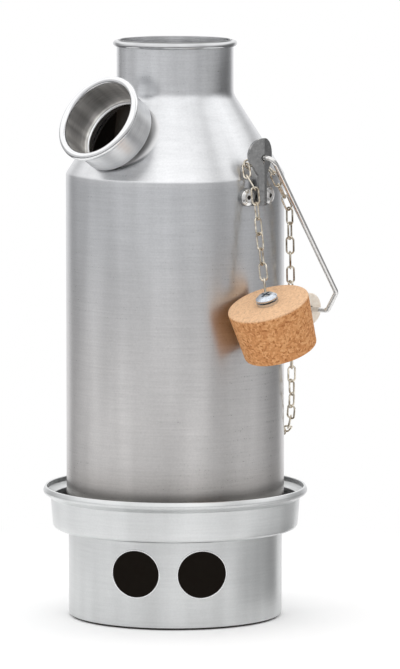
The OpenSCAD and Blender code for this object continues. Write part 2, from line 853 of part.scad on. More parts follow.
fire_base();
outer_jacket();
flue();
spout();
spout_eyelet();
bail_ear_front();
bail_ear_rear();
ear_rivets_front();
ear_rivets_rear();
chain_lug();
lug_rivets();
bail_wire();
grip();
ear_chain();
pour_chain();
cork_chain_top();
cork_chain();
cork();
cork_bolt();
cork_link();
cork_washers();
cork_nut();
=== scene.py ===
"""Looks of the storm kettle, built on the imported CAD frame."""

import math

import bpy
import bmesh
import numpy as np
from mathutils import Matrix, Vector


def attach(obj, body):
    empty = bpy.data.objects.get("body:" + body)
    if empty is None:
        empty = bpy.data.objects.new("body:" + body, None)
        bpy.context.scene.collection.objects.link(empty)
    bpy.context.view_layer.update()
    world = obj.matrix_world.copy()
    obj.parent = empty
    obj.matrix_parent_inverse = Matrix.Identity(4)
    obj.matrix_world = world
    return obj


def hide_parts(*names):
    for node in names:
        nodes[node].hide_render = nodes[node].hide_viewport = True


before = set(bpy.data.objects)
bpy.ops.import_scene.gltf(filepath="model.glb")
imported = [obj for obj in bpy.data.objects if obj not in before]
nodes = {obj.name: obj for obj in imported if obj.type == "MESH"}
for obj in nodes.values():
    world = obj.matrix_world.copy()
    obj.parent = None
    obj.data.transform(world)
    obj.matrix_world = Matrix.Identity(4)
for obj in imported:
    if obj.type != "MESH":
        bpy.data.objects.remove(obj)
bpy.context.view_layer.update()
MM = 0.001

# Sizes in millimetres and angles in degrees, the CAD part's own where no heading says otherwise

# Sheets, and the small clearance between pieces that fit together
SHEET = 0.8
BASE_SHEET = 1.2
EAR_SHEET = 1.5
LUG_SHEET = 1.0
FIT = 0.02

# Jacket, shoulder and neck
BODY_R = 60.0
NECK_R = 32.0
SEAT_Z = 50.0
JACKET_Z = SEAT_Z + SHEET
BREAK_Z = 244.6
NECK_Z = 288.4
NECK_TOP_Z = 314.6
SLOPE = (BODY_R - NECK_R) / (NECK_Z - BREAK_Z)
BREAK_ROUND = 3.0

# Fire base
BOWL_R = BODY_R - 1.1
LEDGE_Z = SEAT_Z - BASE_SHEET
COLLAR_LOW_R = 67.5
COLLAR_HIGH_R = 68.8
LIP_Z = 65.6
LIP_MID_Z = 68.7
LIP_R = 73.3
LIP_IN_R = LIP_R - 1.68
LIP_TOP_OUT_R = LIP_R - 1.4
LIP_TOP_IN_R = LIP_R - 2.6
BASE_TOP_Z = 71.8
VENT_R = 13.0
VENT_PITCH = 36.0
VENT_Z = 30.3
VENT_TURN = 51.5

# Flue and chimney
FLUE_R = 30.2
FLUE_OUT_R = FLUE_R + SHEET
FLUE_FOOT_R = BODY_R - 3.0
FLUE_CONE_TOP_Z = 286.4
FLUE_BEND = 6.0
HEM_R = BODY_R + FIT
HEM_H = 6.0
CHIMNEY_TOP_Z = 318.2
BEAD_R = 32.4
BEAD_Z = 316.5
BEAD_TUBE = 1.7

# Spout, its eyelet and the boss under it
SPOUT_Z = 267.726
SPOUT_RISE = math.degrees(math.atan(SLOPE))
SPOUT_R = 21.6
SPOUT_H = 18.5
SPOUT_RIM = 2.1
SPOUT_ROUND = 1.2
EYELET_R = 19.0
EYELET_IN_R = 18.4
EYELET_LIP_R = EYELET_R + 1.2
EYELET_LIP_Z = 0.82
EYELET_END_Z = 1.6
BOSS_R = 21.2
BOSS_PROUD = 0.9

# Rivets
RIVET_R = 1.6
RIVET_HEAD_R = 4.5
RIVET_BRIM_H = 0.6
RIVET_CROWN_R = 2.6
RIVET_HEAD_H = 1.42
RIVET_HOLLOW_R = 1.0
RIVET_HOLLOW_Z = 0.3
RIVET_MOUTH_R = 1.25
RIVET_TAIL_R = 2.6
RIVET_TAIL_Z = -SHEET - 1.5
RIVET_TAIL_H = 1.4
RIVET_Z = 235.4
RIVET_PITCH = 17.0
RIVET_TURN = math.degrees(math.asin(RIVET_PITCH / 2 / BODY_R))
LUG_RIVETS_Z = (140.173, 150.073)

# Bail and grip
PIVOT_Z = 256.6
BAR_X = 69.15
BAR_HALF = 51.0
BAIL_REACH = 113.4
BAIL_LEAN = math.degrees(math.asin(BAR_X / BAIL_REACH))
BAIL_ARM_TOP_Y = BODY_R + 11.4
BAIL_ARM_LOW_Y = BODY_R + 5.2
BAIL_ARM_LEN = BAIL_REACH - (BAIL_ARM_LOW_Y - BAR_HALF) * 1.05
BAIL_BEND = 4.5
BAIL_HEAD_Y = 62.784
BAIL_HEAD_R = 2.5
BAIL_HEAD_H = 1.3
GRIP_R = 8.75
GRIP_LEN = 79.0
GRIP_BORE_R = 1.58
GRIP_ROUND = 1.5

# Chain
LINK_WIRE_R = 0.475
LINK_IN_LEN = 8.5
LINK_IN_W = 3.0
CORK_LINK_REACH = 8.55
CORK_LINK_SLIP = 0.3
CORK_LINK_IN_W = 4.6
CORK_LINK_IN_LEN = CORK_LINK_REACH + CORK_LINK_SLIP - LINK_WIRE_R + CORK_LINK_IN_W / 2

# Stopper
CORK_PLACE = (-16.985, -82.9, 180.237)
CORK_LEAN = 22.0
CORK_H = 28.5
CORK_TOP_R = 22.5
CORK_LOW_R = 20.0
CORK_BORE_R = 2.02
CORK_ROUND = 1.0

# Sizes that are drawn a little differently from the CAD part's, or only here
FOOT_BACK = 1.5
FOOT_GAP = 1.0
FOOT_TOP_Z = 2.4
LEDGE_ROUND = 0.8
VENT_EDGE_R = 0.42
VENT_EDGE_OUT = 0.12
VENT_EDGE_SUNK = 0.05
NECK_FILLET = 9.0
BEAD_LOWERED = 0.5
BEAD_FLATTER = 0.1
CUP_TOP_Z = SPOUT_H - 0.05
EYELET_EDGE = 1.2
BOSS_HOLE_R = BOSS_R - 1.2
BOSS_EDGE_R = BOSS_R - 0.95
BOSS_EDGE_Z = -0.15
BOSS_SIDE_Z = -0.4
BOSS_FOOT_MIN = 0.5
BOSS_FOOT_MAX = 3.4
BOSS_FOOT_SHARE = 0.75
BOSS_SHEET = 0.7
BAIL_DRAWN_R = 1.4
LINK_DRAWN_R = LINK_WIRE_R + 0.05

# Margin for telling faces apart by where they lie, and the angle from which an edge is sharp
NEAR = 0.1
SHARP = 32.0


def shell_r(z):
    """Radius of the shoulder cone at a height."""
    return NECK_R + SLOPE * (NECK_Z - z)


# Shapes


def turns(count):
    """Angles evenly spaced once round."""
    return [2 * math.pi * k / count for k in range(count)]


def rounded(corners, steps=8):
    """Points of a closed outline of corners (x, y, radius), with its corners rounded."""
    points = []
    n = len(corners)
    for i, (x, y, r) in enumerate(corners):
        b = np.array((x, y), float)
        if r <= 0:
            points.append(b)
            continue
        a = np.array(corners[i - 1][:2], float)
        c = np.array(corners[(i + 1) % n][:2], float)
        u = (a - b) / np.linalg.norm(a - b)
        v = (c - b) / np.linalg.norm(c - b)
        half = math.acos(max(-1.0, min(1.0, float(u @ v)))) / 2
        middle = b + (u + v) / np.linalg.norm(u + v) * r / math.sin(half)
        first = b + u * r / math.tan(half) - middle
        last = b + v * r / math.tan(half) - middle
        for k in range(steps + 1):
            w = first * (1 - k / steps) + last * k / steps
            points.append(middle + r * w / np.linalg.norm(w))
    return points


def refine(points, longest):
    """The outline with its long stretches cut shorter."""
    out = []
    for i, p in enumerate(points):
        q = points[(i + 1) % len(points)]
        cuts = max(1, int(np.linalg.norm(q - p) / longest))
        out += [p + (q - p) * k / cuts for k in range(cuts)]
    return out


def section(r, z, wide, high, count):
    """Points (radius, height) of a round section."""
    return [(r + wide * math.cos(a), z + high * math.sin(a)) for a in turns(count)]


def join(bm, rings, closed=False, material=0):
    """Smooth faces from each ring of vertices to the next."""
    after = rings[1:] + rings[:1] if closed else rings[1:]
    for ring, other in zip(rings, after):
        for corners in zip(ring, ring[1:] + ring[:1], other[1:] + other[:1], other):
            unique = list(dict.fromkeys(corners))
            if len(unique) >= 3:
                face = bm.faces.new(unique)
                face.material_index = material
                face.smooth = True


def add_lathe(bm, points, segments=256, matrix=None, material=0):
    """Turns a closed outline of (radius, height) points round Z into a mesh."""
    matrix = matrix or Matrix.Identity(4)
    on_axis = 1e-6
    rings = []
    for r, z in points:
        if r < on_axis:
            rings.append([bm.verts.new(matrix @ Vector((0, 0, z)))] * segments)
            continue
        rings.append([
            bm.verts.new(matrix @ Vector((r * math.cos(t), r * math.sin(t), z))) for t in turns(segments)
        ])
    join(bm, rings, True, material)


def add_tube(bm, path, radius, sides):
    """A round wire along a path, with flat ends."""
    ways = []
    for i in range(len(path)):
        a = path[max(i - 1, 0)]
        b = path[min(i + 1, len(path) - 1)]
        ways.append((b - a).normalized())
    side = ways[0].orthogonal().normalized()
    rings = []
    for p, way in zip(path, ways):
        side = (side - way * side.dot(way)).normalized()
        up = way.cross(side)
        rings.append([
            bm.verts.new(p + (side * math.cos(t) + up * math.sin(t)) * radius) for t in turns(sides)
        ])
    join(bm, rings)
    bm.faces.new(rings[0][::-1])
    bm.faces.new(rings[-1])


def add_loop(bm, loop, face, radius, sides):
    """A closed round wire: loop holds (centre, outward) pairs, and face is the way the loop looks."""
    rings = []
    for centre, out in loop:
        rings.append([
            bm.verts.new(centre + (out * math.cos(a) + face * math.sin(a)) * radius) for a in turns(sides)
        ])
    join(bm, rings, True)


def bent(corners, bend, steps=10):
    """A path through corners, with each inner corner bent to a radius."""
    path = [corners[0]]
    for a, b, c in zip(corners, corners[1:], corners[2:]):
        u, v = (a - b).normalized(), (c - b).normalized()
        half = u.angle(v) / 2
        middle = b + (u + v).normalized() * bend / math.sin(half)
        first = b + u * bend / math.tan(half) - middle
        last = b + v * bend / math.tan(half) - middle
        for k in range(steps + 1):
            path.append(middle + first.slerp(last, k / steps) * bend)
    path.append(corners[-1])
    return path


def make(name, bm, materials, body, stands_for=(), place=None, sharp=SHARP):
    """Makes an object of the mesh, in metres, that rides on a CAD body."""
    bmesh.ops.recalc_face_normals(bm, faces=bm.faces)
    bmesh.ops.scale(bm, vec=(MM, MM, MM), verts=bm.verts)
    mesh = bpy.data.meshes.new(name)
    bm.to_mesh(mesh)
    bm.free()
    mesh.set_sharp_from_angle(angle=math.radians(sharp))
    for m in materials:
        mesh.materials.append(m)
    obj = bpy.data.objects.new(name, mesh)
    bpy.context.scene.collection.objects.link(obj)
    if place is not None:
        move = place.copy()
        move.translation = move.translation * MM
        obj.matrix_world = move
    if body:
        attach(obj, body)
    if stands_for:
        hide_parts(*stands_for)
    return obj


def cut(obj, cutters):
    """Cuts solid round holes, given as (matrix, radius, length) in millimetres, out of an object."""
    for matrix, radius, length in cutters:
        bm = bmesh.new()
        add_lathe(bm, [(0, 0), (radius, 0), (radius, length), (0, length)], 160, matrix)
        tool = make("cutter", bm, [], None)
        boolean = obj.modifiers.new("hole", "BOOLEAN")
        boolean.operation = "DIFFERENCE"
        boolean.solver = "EXACT"
        boolean.object = tool
        bpy.context.view_layer.update()
        depsgraph = bpy.context.evaluated_depsgraph_get()
        result = bpy.data.meshes.new_from_object(obj.evaluated_get(depsgraph))
        obj.modifiers.clear()
        obj.data = result
        bpy.data.objects.remove(tool)
    obj.data.set_sharp_from_angle(angle=math.radians(SHARP))


# Places of pieces that don't stand upright

TO_FRONT = Matrix.Rotation(math.pi / 2, 4, "X")


def turn_z(angle):
    return Matrix.Rotation(math.radians(angle), 4, "Z")


def on_wall(turn, z):
    """+Z straight out of the jacket wall."""
    return turn_z(turn) @ Matrix.Translation((0, -BODY_R, z)) @ TO_FRONT


ON_SPOUT = (
    Matrix.Translation((-shell_r(SPOUT_Z), 0, SPOUT_Z))
    @ Matrix.Rotation(math.radians(SPOUT_RISE - 90), 4, "Y")
    @ Matrix.Translation((0, 0, BOSS_PROUD))
)
ON_CORK = Matrix.Translation(CORK_PLACE) @ Matrix.Rotation(math.radians(-CORK_LEAN), 4, "Y")

# Materials


class Shader:
    """The node tree of a material or world. Values pass from node to node as output sockets."""

    def __init__(self, owner, output):
        owner.use_nodes = True
        self.owner = owner
        self.tree = owner.node_tree
        self.tree.nodes.clear()
        self.out = self.add(output)

    def feed(self, node, socket, value):
        """Links an output socket to a node's input, or sets a plain value there."""
        into = node.inputs[socket]
        if isinstance(value, bpy.types.NodeSocket):
            self.tree.links.new(value, into)
        else:
            into.default_value = value

    def add(self, kind, sockets=None, **settings):
        """Adds a node with its settings, and feeds its sockets."""
        node = self.tree.nodes.new(kind)
        for key, value in settings.items():
            setattr(node, key, value)
        for socket, value in (sockets or {}).items():
            self.feed(node, socket, value)
        return node

    def place(self):
        """Where a point lies in its object, in metres."""
        return self.add("ShaderNodeTexCoord").outputs["Object"]

    def parts(self, vector):
        """The outputs X, Y and Z of a vector."""
        return self.add("ShaderNodeSeparateXYZ", {0: vector}).outputs

    def vector(self, x, y, z):
        return self.add("ShaderNodeCombineXYZ", {"X": x, "Y": y, "Z": z}).outputs[0]

    def length(self, vector):
        return self.add("ShaderNodeVectorMath", {0: vector}, operation="LENGTH").outputs["Value"]

    def math(self, operation, a, b):
        return self.add("ShaderNodeMath", {0: a, 1: b}, operation=operation).outputs[0]

    def mix(self, share, a, b):
        """Two values mixed."""
        return self.add("ShaderNodeMix", {0: share, 2: a, 3: b}, data_type="FLOAT").outputs[0]

    def blend(self, share, a, b, kind="MIX"):
        """Two colours blended."""
        node = self.add("ShaderNodeMix", {0: share, 6: a, 7: b}, data_type="RGBA", blend_type=kind)
        return node.outputs[2]

    def span(self, value, source, target=(0.0, 1.0), kind="LINEAR"):
        """A value mapped from one range to another."""
        node = self.add("ShaderNodeMapRange", {
            "Value": value, "From Min": source[0], "From Max": source[1],
            "To Min": target[0], "To Max": target[1],
        }, interpolation_type=kind)
        return node.outputs[0]

    def ramp(self, value, stops):
        """A colour for a value, by (value, colour) stops."""
        node = self.add("ShaderNodeValToRGB")
        elements = node.color_ramp.elements
        while len(elements) < len(stops):
            elements.new(0.5)
        for e, (at, colour) in zip(elements, stops):
            e.position = at
            e.color = (*colour, 1)
        self.feed(node, 0, value)
        return node.outputs[0]

    def greys(self, value, stops):
        """A grey level for a value, by (value, level) stops."""
        return self.ramp(value, [(at, (level, level, level)) for at, level in stops])

    def noise(self, vector, scale, detail, rough):
        node = self.add("ShaderNodeTexNoise", {
            "Vector": vector, "Scale": scale, "Detail": detail, "Roughness": rough,
        })
        return node.outputs[0]

    def bump(self, height, strength, distance=0.0002):
        node = self.add("ShaderNodeBump", {"Strength": strength, "Distance": distance, "Height": height})
        return node.outputs[0]

    def surface(self, sockets):
        """Ends a material in a Principled shader with these sockets."""
        shader = self.add("ShaderNodeBsdfPrincipled", sockets)
        self.feed(self.out, "Surface", shader.outputs[0])
        return self.owner


def new_material(name):
    return Shader(bpy.data.materials.new(name), "ShaderNodeOutputMaterial")


def spun(
    name, dark, light, rough, line, grain=0.5, aniso=0.55, shade=(), streak=0.0, speckle=0.0, outward=False,
):
    """Turned aluminium, with fine lines round the object's own Z axis.

    line sets how close the lines lie, and grain how softly dark and light run into each other.
    shade holds (millimetres, share, warmth) steps of painted light and shade, with a tint, up the axis or,
    with outward, away from it.
    streak is the strength of broad bands along the axis, and speckle the share of fine specks.
    """
    t = new_material(name)
    place = t.place()
    height = t.parts(place)["Z"]
    flat = t.add("ShaderNodeVectorMath", {0: place, 1: (1, 1, 0)}, operation="MULTIPLY").outputs[0]
    reach = t.length(flat)
    way = t.parts(t.add("ShaderNodeVectorMath", {0: flat}, operation="NORMALIZE").outputs[0])
    across = t.math("MULTIPLY", t.math("ADD", height, reach), line)
    fine = t.noise(t.vector(way["X"], way["Y"], across), scale=2.2, detail=4.0, rough=0.65)
    broad = t.noise(place, scale=14.0, detail=3.0, rough=0.5)
    mixed = t.mix(0.3, fine, broad)
    if speckle:
        specks = t.noise(place, scale=950.0, detail=2.0, rough=0.6)
        mixed = t.mix(speckle, mixed, specks)
    colour = t.ramp(mixed, [(0.5 - grain * 0.4, dark), (0.5 + grain * 0.4, light)])
    if streak:
        upright = t.vector(way["X"], way["Y"], t.math("MULTIPLY", height, 1.8))
        drawn = t.noise(upright, scale=3.6, detail=1.6, rough=0.5)
        colour = t.blend(1.0, colour, t.greys(drawn, [(0.34, 1 - streak), (0.66, 1 + streak)]), "MULTIPLY")
    # Painted light and shade: the colour is multiplied by a tinted grey level that steps with height, or
    # with the distance from the axis.
    if shade:
        low, high = shade[0][0], shade[-1][0]
        tone = t.ramp(t.span(reach if outward else height, (low * MM, high * MM)), [
            ((at - low) / (high - low), (k * (1 + warm), k, k * (1 - warm))) for at, k, warm in shade
        ])
        colour = t.blend(1.0, colour, tone, "MULTIPLY")
    return t.surface({
        "Base Color": colour,
        "Roughness": t.span(mixed, (0, 1), (rough - 0.1, rough + 0.1)),
        "Metallic": 1.0,
        "Anisotropic": aniso,
        "Anisotropic Rotation": 0.25,
        "Tangent": t.add("ShaderNodeTangent", direction_type="RADIAL", axis="Z").outputs[0],
        "Normal": t.bump(fine, 0.045),
    })


def metal(name, dark, light, rough, scale, bump=0.1):
    """Plain metal with a fine uneven grain."""
    t = new_material(name)
    grain = t.noise(t.place(), scale, detail=4.0, rough=0.6)
    return t.surface({
        "Base Color": t.ramp(grain, [(0.3, dark), (0.7, light)]),
        "Roughness": t.span(grain, (0, 1), (rough - 0.08, rough + 0.08)),
        "Metallic": 1.0,
        "Normal": t.bump(grain, bump),
    })


def cork_material():
    """Pressed cork: granules of several browns, dark specks, and a top made paler as painted light."""
    t = new_material("cork_grain")
    place = t.place()
    cells = t.add(
        "ShaderNodeTexVoronoi", {"Vector": place, "Scale": 900.0, "Randomness": 1.0}, feature="F1",
    )
    tint = t.add("ShaderNodeSeparateColor", {0: cells.outputs["Color"]}).outputs[0]
    granule = t.ramp(tint, [
        (0.0, (0.40, 0.155, 0.053)), (0.16, (0.53, 0.23, 0.087)),
        (0.6, (0.66, 0.317, 0.129)), (1.0, (0.74, 0.395, 0.18)),
    ])
    fine = t.noise(place, scale=1400.0, detail=3.0, rough=0.6)
    speck = t.ramp(fine, [(0.30, (0.66, 0.54, 0.44)), (0.44, (1, 1, 1))])
    # Painted light: the colour pales toward the top face, as if lit from above.
    top = t.span(t.parts(place)["Z"], (-1.2 * MM, -0.3 * MM), (0.0, 0.5))
    pale = t.blend(top, granule, (1.0, 0.75, 0.51, 1))
    return t.surface({
        "Base Color": t.blend(0.8, pale, speck, "MULTIPLY"),
        "Roughness": 0.9,
        "Specular IOR Level": 0.2,
        "Normal": t.bump(t.math("ADD", fine, tint), 0.35, 0.0004),
    })


def wood_material():
    """Pale wood, with its grain along the object's Y axis."""
    t = new_material("pale_wood")
    stretch = t.add("ShaderNodeMapping", {"Vector": t.place(), "Scale": (1, 0.06, 1)}).outputs[0]
    grain = t.noise(stretch, scale=420.0, detail=5.0, rough=0.6)
    return t.surface({
        "Base Color": t.ramp(grain, [(0.3, (0.76, 0.65, 0.53)), (0.7, (0.92, 0.85, 0.75))]),
        "Roughness": t.span(grain, (0, 1), (0.5, 0.66)),
        "Normal": t.bump(grain, 0.15),
    })


def painted_shade_material():
    """Near-black painted shade for the inside of the bowl, the water space, the crease above the bead, the
    gap under the foot and the rivets' hollows, with a faint painted glow.
    """
    t = new_material("painted_shade_dark")
    grain = t.noise(t.place(), scale=90.0, detail=5.0, rough=0.6)
    return t.surface({
        "Base Color": t.ramp(grain, [(0.3, (0.010, 0.010, 0.010)), (0.7, (0.030, 0.028, 0.026))]),
        "Roughness": t.span(grain, (0, 1), (0.7, 0.9)),
        # Painted glow: a faint light of its own, so this shade never goes quite black.
        "Emission Color": (0.0085, 0.0066, 0.0052, 1),
        "Emission Strength": 1.0,
        "Normal": t.bump(grain, 0.2, 0.0003),
    })


# Painted shade and light on the jacket: darker low on the wall under the collar's lip, lighter on the
# shoulder and neck, warmer low and cooler high.
WALL_PAINTED_LIGHT_AND_SHADE = (
    (66, 0.50, 0.055), (78, 0.68, 0.04), (90, 0.86, 0.025), (112, 0.96, 0.022), (150, 1.0, 0.015),
    (215, 1.0, -0.012), (240, 0.98, -0.016), (246, 1.10, -0.008), (310, 1.08, -0.014),
)
# Painted shade on the boss: dark at the foot of the cup, fading outward to the shell's painted light at its
# edge.
BOSS_PAINTED_SHADE = (
    (20.2, 0.26, 0.02), (20.9, 0.45, 0.0), (21.8, 0.74, 0.0), (22.8, 1.0, 0.0), (23.6, 1.10, 0.0),
)
# Painted shade: the bowl under the collar a little darker than the collar.
BOWL_PAINTED_SHADE = ((0, 0.93, 0.0), (46, 0.93, 0.0), (49.5, 1.0, 0.0))
SHELL = spun(
    "spun_shell", (0.52, 0.52, 0.525), (0.735, 0.735, 0.742), rough=0.30, line=420.0,
    grain=0.68, shade=WALL_PAINTED_LIGHT_AND_SHADE, streak=0.10, speckle=0.35,
)
BOSS = spun(
    "spun_boss", (0.52, 0.52, 0.525), (0.735, 0.735, 0.742), rough=0.34, line=420.0,
    grain=0.9, aniso=0.2, shade=BOSS_PAINTED_SHADE, outward=True,
)
BASE = spun(
    "spun_base", (0.55, 0.56, 0.562), (0.745, 0.755, 0.755), rough=0.36, line=300.0,
    grain=0.8, aniso=0.4, shade=BOWL_PAINTED_SHADE, streak=0.08, speckle=0.3,
)
# A darker copy of the base's metal: painted shade inside the collar.
BASE_SHADED_INSIDE = spun(
    "spun_base_painted_shade", (0.30, 0.305, 0.31), (0.46, 0.465, 0.475), rough=0.34, line=300.0,
    grain=0.8, aniso=0.4,
)
BRIGHT = spun(
    "turned_bright", (0.66, 0.665, 0.675), (0.84, 0.845, 0.85), rough=0.18, line=700.0, aniso=0.3,
)
RIM = spun("turned_rim", (0.46, 0.465, 0.475), (0.64, 0.645, 0.65), rough=0.16, line=700.0, aniso=0.3)
CUP = spun(
    "turned_cup", (0.60, 0.605, 0.615), (0.80, 0.805, 0.81), rough=0.34, line=700.0,
    aniso=0.4, streak=0.06,
)
# A lighter, warmer copy of the cup's metal for its inside: painted light.
CUP_LIT_INSIDE = spun(
    "turned_cup_painted_light", (0.60, 0.585, 0.565), (0.88, 0.865, 0.845), rough=0.50, line=700.0,
    aniso=0.2, streak=0.3,
)
DARK_PAINTED_SHADE = painted_shade_material()
EAR = metal("ear_metal", (0.28, 0.28, 0.28), (0.42, 0.42, 0.415), rough=0.24, scale=500.0)
RIVET = metal("rivet_metal", (0.74, 0.73, 0.72), (0.90, 0.89, 0.88), rough=0.22, scale=600.0)
WIRE = metal("wire_metal", (0.60, 0.59, 0.575), (0.78, 0.77, 0.755), rough=0.12, scale=700.0, bump=0.04)
CHAIN = metal("chain_metal", (0.26, 0.20, 0.13), (0.95, 0.89, 0.77), rough=0.16, scale=320.0, bump=0.04)
BOLT = metal("bolt_metal", (0.50, 0.54, 0.60), (0.72, 0.76, 0.81), rough=0.22, scale=700.0)
CORK = cork_material()
WOOD = wood_material()

# Fire base, with near-black painted shade in the bowl and in the gap under the foot's step, and darker
# painted shade inside the collar

bowl_in_r = BOWL_R - BASE_SHEET
foot_r = BOWL_R - FOOT_BACK
base_outline = [
    (0, 0, 0), (foot_r, 0, 0.2), (foot_r, FOOT_GAP - 0.05, 0.1), (BOWL_R - 0.2, FOOT_GAP, 0.3),
    (BOWL_R, FOOT_TOP_Z, 0.6), (BOWL_R, LEDGE_Z, LEDGE_ROUND), (COLLAR_LOW_R, LEDGE_Z, 2.5),
    (COLLAR_HIGH_R, LIP_Z, 0.9), (LIP_R, LIP_MID_Z, 1.8), (LIP_TOP_OUT_R, BASE_TOP_Z, 0.5),
    (LIP_TOP_IN_R, BASE_TOP_Z, 0.4), (LIP_IN_R, LIP_MID_Z, 0.8),
    (COLLAR_HIGH_R - BASE_SHEET, LIP_Z + BASE_SHEET / 2, 0.5), (COLLAR_LOW_R - BASE_SHEET, SEAT_Z, 1.5),
    (bowl_in_r, SEAT_Z, 0.3), (bowl_in_r, BASE_SHEET, 0.8), (0, BASE_SHEET, 0),
]
bm = bmesh.new()
add_lathe(bm, refine(rounded(base_outline), longest=4.0), segments=320)
for f in bm.faces:
    c = f.calc_center_median()
    r = math.hypot(c.x, c.y)
    in_bowl = r < bowl_in_r + 2 * NEAR and FOOT_GAP - NEAR < c.z < SEAT_Z - NEAR
    painted_foot_shadow = c.z < FOOT_GAP - 0.03
    up_collar = (c.z - SEAT_Z) / (LIP_Z - SEAT_Z)
    collar_mid_r = COLLAR_LOW_R - BASE_SHEET / 2 + (COLLAR_HIGH_R - COLLAR_LOW_R) * up_collar
    # Painted shade: near-black in the bowl and in the gap under the foot, and the darker copy of the metal
    # inside the collar.
    if in_bowl or painted_foot_shadow:
        f.material_index = 1
    elif c.z > SEAT_Z - NEAR and r < collar_mid_r:
        f.material_index = 2
fire_base = make("fire_base_skin", bm, [BASE, DARK_PAINTED_SHADE, BASE_SHADED_INSIDE], "base", ["fire_base"])
vent_way = turn_z(-VENT_TURN)
vent_reach = 80.0
cut(fire_base, [
    (vent_way @ Matrix.Translation((side * VENT_PITCH / 2, 0, VENT_Z)) @ TO_FRONT, VENT_R, vent_reach)
    for side in (-1, 1)
])

# Thin rounded edges of the air holes, which catch the light, in a brighter metal than the base that paints
# part of their highlight

bm = bmesh.new()
for side in (-1, 1):
    loop = []
    for t in turns(96):
        out = Vector((math.cos(t), 0, math.sin(t)))
        centre = Vector((side * VENT_PITCH / 2, 0, VENT_Z)) + out * (VENT_R + VENT_EDGE_OUT)
        centre.y = VENT_EDGE_SUNK - math.sqrt(BOWL_R ** 2 - centre.x ** 2)
        loop.append((vent_way @ centre, vent_way @ out))
    add_loop(bm, loop, vent_way @ Vector((0, -1, 0)), VENT_EDGE_R, 10)
make("vent_edges", bm, [BRIGHT], "base", [], sharp=80)

# Jacket, with a hole where the boss goes


def jacket_outline(inset):
    """The jacket's profile from its lower edge to its top, moved inward by inset."""
    lean = math.atan(SLOPE)
    drop = inset * (1 / math.cos(lean) - 1) / math.tan(lean)
    return [
        (BODY_R - inset, JACKET_Z, 0), (BODY_R - inset, BREAK_Z - drop, BREAK_ROUND - inset),
        (NECK_R - inset, NECK_Z - drop, NECK_FILLET + inset), (NECK_R - inset, NECK_TOP_Z, 0),
    ]


bm = bmesh.new()
jacket_closed = jacket_outline(0) + jacket_outline(SHEET)[::-1]
add_lathe(bm, refine(rounded(jacket_closed), longest=6.0), segments=320)
jacket = make("jacket_skin", bm, [SHELL], "kettle", ["outer_jacket"])
hole_low_z = -14
hole_len = 30.0
cut(jacket, [(ON_SPOUT @ Matrix.Translation((0, 0, hole_low_z)), BOSS_HOLE_R, hole_len)])

# Boss under the spout


def depth_to_shell(x, y):
    """Distance from the spout's foot plane down its axis to the shoulder cone, at local x and y."""
    low, high = -6.0, 16.0
    for _ in range(40):
        mid = (low + high) / 2
        p = ON_SPOUT @ Vector((x, y, -mid))
        if math.hypot(p.x, p.y) > shell_r(p.z):
            low = mid
        else:
            high = mid
    return (low + high) / 2


def boss_profile(turn, steps=9, curve=2.2):
    """Points of the boss on one side, from the eyelet out to its smooth foot on the shoulder."""
    x, y = math.cos(turn), math.sin(turn)
    deep = depth_to_shell(BOSS_R * x, BOSS_R * y)
    foot = min(BOSS_FOOT_MAX, max(BOSS_FOOT_MIN, deep * BOSS_FOOT_SHARE))
    profile = [(EYELET_R + FIT, 0.0), (BOSS_HOLE_R, 0.0), (BOSS_EDGE_R, BOSS_EDGE_Z)]
    for k in range(steps + 1):
        s = k / steps
        r = BOSS_EDGE_R + foot * s ** curve
        over = max(deep - BOSS_FOOT_MIN, 0.0) * (1 - s) ** curve
        z = over - depth_to_shell(r * x, r * y) - FIT
        profile.append((r, min(z, BOSS_SIDE_Z)))
    return [(r * x, r * y, z) for r, z in profile]


bm = bmesh.new()
outer = list(zip(*[boss_profile(t) for t in turns(160)]))
inner = [[(x, y, z - BOSS_SHEET) for x, y, z in ring] for ring in outer[::-1]]
join(bm, [[bm.verts.new(p) for p in ring] for ring in outer + inner], closed=True)
make("spout_boss_skin", bm, [BOSS], "kettle", [], ON_SPOUT, sharp=60)

# Flue with the hem below and the rolled bead above, with near-black painted shade on the side toward the
# water and in the crease above the bead

flue_outline = [
    (FLUE_FOOT_R, JACKET_Z, 1.5), (FLUE_OUT_R, FLUE_CONE_TOP_Z, FLUE_BEND), (FLUE_OUT_R, CHIMNEY_TOP_Z, 0.3),
    (FLUE_R, CHIMNEY_TOP_Z, 0.3), (FLUE_R, FLUE_CONE_TOP_Z, FLUE_BEND + SHEET),
    (FLUE_FOOT_R - SHEET, SEAT_Z, 0), (HEM_R + SHEET, SEAT_Z, 0.5), (HEM_R + SHEET, SEAT_Z + HEM_H, 0.3),
    (HEM_R, SEAT_Z + HEM_H, 0), (HEM_R, JACKET_Z - FIT, 0), (FLUE_FOOT_R + 1.5, JACKET_Z - FIT, 0),
]
bm = bmesh.new()
add_lathe(bm, refine(rounded(flue_outline), longest=8.0))
for f in bm.faces:
    c = f.calc_center_median()
    r = math.hypot(c.x, c.y)
    up = (c.z - JACKET_Z) / (FLUE_CONE_TOP_Z - JACKET_Z)
    cone_mid_r = FLUE_FOOT_R + (FLUE_OUT_R - FLUE_FOOT_R) * up - SHEET / 2
    on_cone = 0.02 < up < 1 and cone_mid_r < r < FLUE_FOOT_R
    above_bead = BEAD_Z < c.z < CHIMNEY_TOP_Z - NEAR / 2 and r > FLUE_R + 0.5
    # Painted shade: near-black on the side toward the water and in the crease between the bead and the top
    # edge.
    if on_cone or above_bead:
        f.material_index = 1
bead = section(BEAD_R, BEAD_Z - BEAD_LOWERED, BEAD_TUBE, BEAD_TUBE - BEAD_FLATTER, 32)
add_lathe(bm, bead, material=2)
make("flue_skin", bm, [BRIGHT, DARK_PAINTED_SHADE, RIM], "kettle", ["flue"])

# Spout and eyelet

